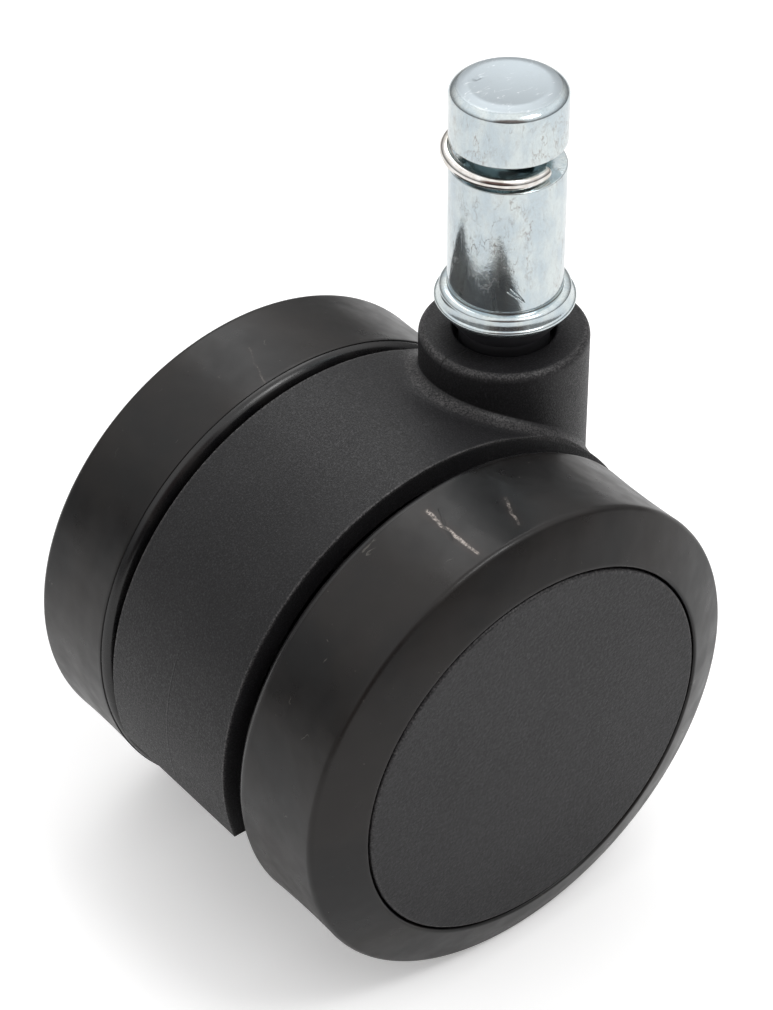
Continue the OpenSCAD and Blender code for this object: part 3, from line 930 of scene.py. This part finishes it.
def hubcap_plastic():
    """Black cover with a fine pebbled grain, painted shade in its pits and a worn edge."""
    s = Shader("hubcap_grain", CAP_DARK, 0.5, Specular_IOR_Level=0.36)
    mottle = s.ramp(s.noise(s.mapped(), 0.10, 4, 0.55), 0.35, 0.65)
    tone, fine = speckle(s, s.blend(mottle, CAP_DARK, CAP_LIGHT), 4.5, CAP_LIGHT, 0.45)
    edge = s.ramp(s.radius(AXLE, (1, 0, 1)), HUBCAP_R - 0.40, HUBCAP_R - 0.15)
    tone = s.blend(s.both(edge, s.ramp(fine, 0.42, 0.66)), tone, WORN_PLASTIC, 0.5)
    pit_shade = s.ramp(s.noise(s.mapped((1, 0, 1), (3, 0, 9)), 1.9, 3, 0.6), 0.30, 0.22, 0, 1)
    # Painted shade: near-black spots stand for shade in the grain's pits.
    s.colour(s.blend(pit_shade, tone, DEEP_BLACK, 0.8))
    s.roughness(s.ramp(fine, 0.3, 0.7, 0.52, 0.38))
    s.bump(s.noise(s.mapped((1, 0, 1)), 2.6, 3, 0.6), 0.055)
    s.bump(fine, 0.012)
    return s.material


def smooth_nylon():
    """Glossy black nylon of the wheel cores."""
    s = Shader("smooth_nylon", (0.010, 0.010, 0.011), 0.25)
    cloud = s.noise(s.mapped(), 0.3, 3)
    s.colour(s.blend(s.ramp(cloud, 0.3, 0.7), CORE_DARK, CORE_LIGHT))
    s.roughness(s.ramp(cloud, 0.3, 0.7, 0.20, 0.32))
    s.bump(cloud, 0.02)
    return s.material


def off_axle(point):
    """Direction from the axle to a point, square to the axle."""
    return (point[0] - AXLE.x, 0, point[2] - AXLE.z)


def flow_marks_and_highlights(s, tone):
    """Pale flow streaks on the tread, partly painted highlight, with a painted brownish sheen round
    them, broken into painted glints by grain.
    """
    glints = s.ramp(s.noise(s.mapped(), 5.0, 4, 0.8), 0.35, 0.70)
    swell = s.ramp(s.noise(s.mapped(), 0.55, 2), 0.38, 0.62, 0.25, 1)
    for start, end, half_width, strength in FLOW_MARKS:
        flow = s.mark(start, end, off_axle(start), half_width, 0.7)
        sheen = s.mark(start, end, off_axle(start), half_width * 4, 0.7)
        # Painted sheen: a brownish halo of light round each mark.
        tone = s.blend(s.both(sheen, sheen), tone, FLOW_SHEEN, strength * 0.2)
        bright = s.both(s.both(flow, flow), s.both(glints, swell))
        # Partly a real flow mark, partly a painted highlight in glinting spots.
        tone = s.blend(bright, tone, FLOW_MARK_AND_HIGHLIGHT, strength)
    return tone


def polyurethane():
    """Brownish-black polyurethane with broad ripples, lint, flow marks with painted highlight, and
    painted crease shade.
    """
    s = Shader("polyurethane", (0.009, 0.008, 0.0075), 0.32, Specular_IOR_Level=0.34)
    plain = s.mapped()
    tone = s.blend(s.ramp(s.noise(plain, 0.10, 3), 0.35, 0.65), TREAD_DARK, TREAD_BROWN)
    lint = s.ramp(s.noise(s.mapped((1, 0.5, 1), (3, 9, 4)), 2.4, 2, 0.7), 0.735, 0.785)
    tone = s.blend(lint, tone, LINT, 0.35)
    fibres = s.contour(s.noise(s.mapped((0.4, 1, 0.4), (6, 1, 4)), 0.45, 3), 0.001, 0.008)
    fibres = s.both(fibres, s.ramp(s.noise(s.mapped(offset=(4, 8, 1)), 0.35, 2), 0.66, 0.70))
    tone = s.blend(fibres, tone, FIBRE, 0.35)
    crease_and_shade = s.mark(*CREASE, off_axle(CREASE[0]), 0.18, 0.6)
    # Painted shade: the tread is darkened along a shallow crease, which is also dented.
    s.colour(s.blend(crease_and_shade, flow_marks_and_highlights(s, tone), DEEP_BLACK, 0.7))
    s.roughness(s.ramp(s.noise(plain, 0.35, 3), 0.3, 0.7, 0.27, 0.37))
    s.bump(crease_and_shade, -0.015)
    s.bump(s.noise(plain, 0.20, 2), 0.11)
    s.bump(s.noise(plain, 3.0, 2), 0.003)
    return s.material


def dress_cad_nodes(finishes):
    """Gives every CAD node that stays visible its material."""
    for node, material in finishes.items():
        piece = frame["nodes"][node]
        piece.data.materials.clear()
        piece.data.materials.append(material)


# ---------------------------------------------------------------- camera, floor and light

CAMERA_AZIMUTH = -38.37
CAMERA_ELEVATION = 39.465
CAMERA_ROLL = -0.498
CAMERA_DISTANCE = 290.0
CAMERA_AIM = Vector((-17.1, -3.35, -16.3))
CAMERA_LENS = 110.11
CAMERA_SENSOR = 36

# Studio: a tent that is dim up to one elevation and bright from another, with a dim opening that
# the caster's camera side reflects, and a floor that glows a little for the camera only.
HORIZON_TOP = 5
ZENITH_START = 48
HORIZON_LIGHT = 0.22
ZENITH_LIGHT = 1.12
OPENING_ELEVATION = 22
OPENING_STRETCH = 0.6
OPENING_HALF = 20
OPENING_BLUR = 16
OPENING_COLOUR = (0.16, 0.11, 0.10)
FLOOR_GLOW = 0.3


def make_camera():
    azimuth, elevation = math.radians(CAMERA_AZIMUTH), math.radians(CAMERA_ELEVATION)
    roll = math.radians(CAMERA_ROLL)
    back = Vector((math.sin(azimuth) * math.cos(elevation),
                   -math.cos(azimuth) * math.cos(elevation), math.sin(elevation)))
    right = Vector((math.cos(azimuth), math.sin(azimuth), 0))
    up = back.cross(right)
    turned_right = right * math.cos(roll) + up * math.sin(roll)
    turned_up = up * math.cos(roll) - right * math.sin(roll)
    camera = bpy.data.objects.new("camera", bpy.data.cameras.new("camera"))
    camera.data.lens = CAMERA_LENS
    camera.data.sensor_width = CAMERA_SENSOR
    camera.data.clip_start = 0.01
    camera.data.clip_end = 20
    axes = Matrix((turned_right, turned_up, back)).transposed().to_4x4()
    camera.matrix_world = Matrix.Translation((CAMERA_AIM + back * CAMERA_DISTANCE) * MM) @ axes
    bpy.context.collection.objects.link(camera)
    bpy.context.scene.camera = camera


def make_floor(half=1500):
    """Pale flat floor under the wheels."""
    bm = bmesh.new()
    add_grid(bm, [[(x, y, FLOOR_Z) for x in (-half, half)] for y in (-half, half)])
    floor = make_object("floor", bm)
    s = Shader("floor_paper", (0.92, 0.92, 0.92), 0.9)
    cloud = s.ramp(s.noise(s.mapped(), 0.004, 2), 0.3, 0.7)
    s.colour(s.blend(cloud, (0.90, 0.90, 0.90), (0.94, 0.94, 0.94)))
    s.surface.inputs["Emission Color"].default_value = (1, 1, 1, 1)
    seen = s.tree.nodes.new("ShaderNodeLightPath").outputs["Is Camera Ray"]
    s.link(s.math("MULTIPLY", seen, FLOOR_GLOW), s.surface.inputs["Emission Strength"])
    floor.data.materials.append(s.material)


def make_light(name, azimuth, elevation, distance, size, watts):
    """A square softbox that looks at the caster."""
    a, e = math.radians(azimuth), math.radians(elevation)
    away = Vector((math.sin(a) * math.cos(e), -math.cos(a) * math.cos(e), math.sin(e)))
    lamp = bpy.data.lights.new(name, "AREA")
    lamp.shape = "SQUARE"
    lamp.size = size * MM
    lamp.energy = watts
    holder = bpy.data.objects.new(name, lamp)
    holder.location = (CAMERA_AIM + away * distance) * MM
    holder.rotation_euler = away.to_track_quat("Z", "Y").to_euler()
    bpy.context.collection.objects.link(holder)


def make_world():
    """A white tent, dim near the horizon and bright overhead, with a dim opening in front."""
    world = bpy.data.worlds.new("studio")
    world.use_nodes = True
    tree = world.node_tree

    def add(kind, **settings):
        node = tree.nodes.new(kind)
        for name, value in settings.items():
            setattr(node, name, value)
        return node

    def ramp(value, low, high, first, last):
        node = add("ShaderNodeMapRange", interpolation_type="SMOOTHSTEP")
        for name, number in zip(("From Min", "From Max", "To Min", "To Max"),
                                (low, high, first, last)):
            node.inputs[name].default_value = number
        tree.links.new(value, node.inputs["Value"])
        return node.outputs["Result"]

    direction = add("ShaderNodeTexCoord").outputs["Generated"]
    parts = add("ShaderNodeSeparateXYZ")
    tree.links.new(direction, parts.inputs["Vector"])
    rise = ramp(parts.outputs["Z"], math.sin(math.radians(HORIZON_TOP)),
                math.sin(math.radians(ZENITH_START)), HORIZON_LIGHT, ZENITH_LIGHT)
    squash = add("ShaderNodeVectorMath", operation="MULTIPLY")
    squash.inputs[1].default_value = (1, 1, OPENING_STRETCH)
    tree.links.new(direction, squash.inputs[0])
    unit = add("ShaderNodeVectorMath", operation="NORMALIZE")
    tree.links.new(squash.outputs["Vector"], unit.inputs[0])
    a, e = math.radians(CAMERA_AZIMUTH), math.radians(OPENING_ELEVATION)
    middle = Vector((math.sin(a) * math.cos(e), -math.cos(a) * math.cos(e),
                     math.sin(e) * OPENING_STRETCH))
    towards = add("ShaderNodeVectorMath", operation="DOT_PRODUCT")
    towards.inputs[1].default_value = middle.normalized()
    tree.links.new(unit.outputs["Vector"], towards.inputs[0])
    opening = ramp(towards.outputs["Value"], math.cos(math.radians(OPENING_HALF + OPENING_BLUR)),
                   math.cos(math.radians(OPENING_HALF)), 0, 1)
    tint = add("ShaderNodeMix", data_type="RGBA")
    colours = [s for s in tint.inputs if s.type == "RGBA"]
    colours[0].default_value = (1, 1, 1, 1)
    colours[1].default_value = (*OPENING_COLOUR, 1)
    tree.links.new(opening, tint.inputs["Factor"])
    tent = tree.nodes["Background"]
    tree.links.new(next(s for s in tint.outputs if s.type == "RGBA"), tent.inputs["Color"])
    tree.links.new(rise, tent.inputs["Strength"])
    backdrop = add("ShaderNodeBackground")
    backdrop.inputs["Color"].default_value = (1, 1, 1, 1)
    seen = add("ShaderNodeMixShader")
    tree.links.new(add("ShaderNodeLightPath").outputs["Is Camera Ray"], seen.inputs["Fac"])
    tree.links.new(tent.outputs["Background"], seen.inputs[1])
    tree.links.new(backdrop.outputs["Background"], seen.inputs[2])
    tree.links.new(seen.outputs["Shader"], tree.nodes["World Output"].inputs["Surface"])
    bpy.context.scene.world = world
    bpy.context.scene.view_settings.view_transform = "Standard"


# ---------------------------------------------------------------- the caster

def build():
    zinc, wire = zinc_plating(), spring_wire()
    pressed, ground = plain_steel("pressed_steel", 0.5), plain_steel("ground_steel", 0.6)
    sleeve, nylon, core_nylon = acetal(), housing_nylon(), smooth_nylon()
    cap_plastic, tread = hubcap_plastic(), polyurethane()
    make_stem().data.materials.append(zinc)
    make_grip_ring().data.materials.append(wire)
    for piece in make_housing():
        piece.data.materials.append(nylon)
    for name, side in (("left", 1), ("right", -1)):
        tyre, core, cap = make_wheel(name, side)
        tyre.data.materials.append(tread)
        core.data.materials.append(core_nylon)
        cap.data.materials.append(cap_plastic)
    finishes = {"stem_snap_ring": wire, "stem_bush": sleeve, "thrust_disc": pressed,
                "axle": ground, "axle_clips": pressed}
    for name in ("left", "right"):
        finishes[f"inner_washer_{name}"] = pressed
        finishes[f"outer_washer_{name}"] = pressed
        finishes[f"wheel_bush_{name}"] = sleeve
    dress_cad_nodes(finishes)


build()
make_camera()
make_floor()
make_light("key", 150, 55, 700, 400, 0.8)
make_light("front", 25, 60, 700, 200, 1.1)
make_world()
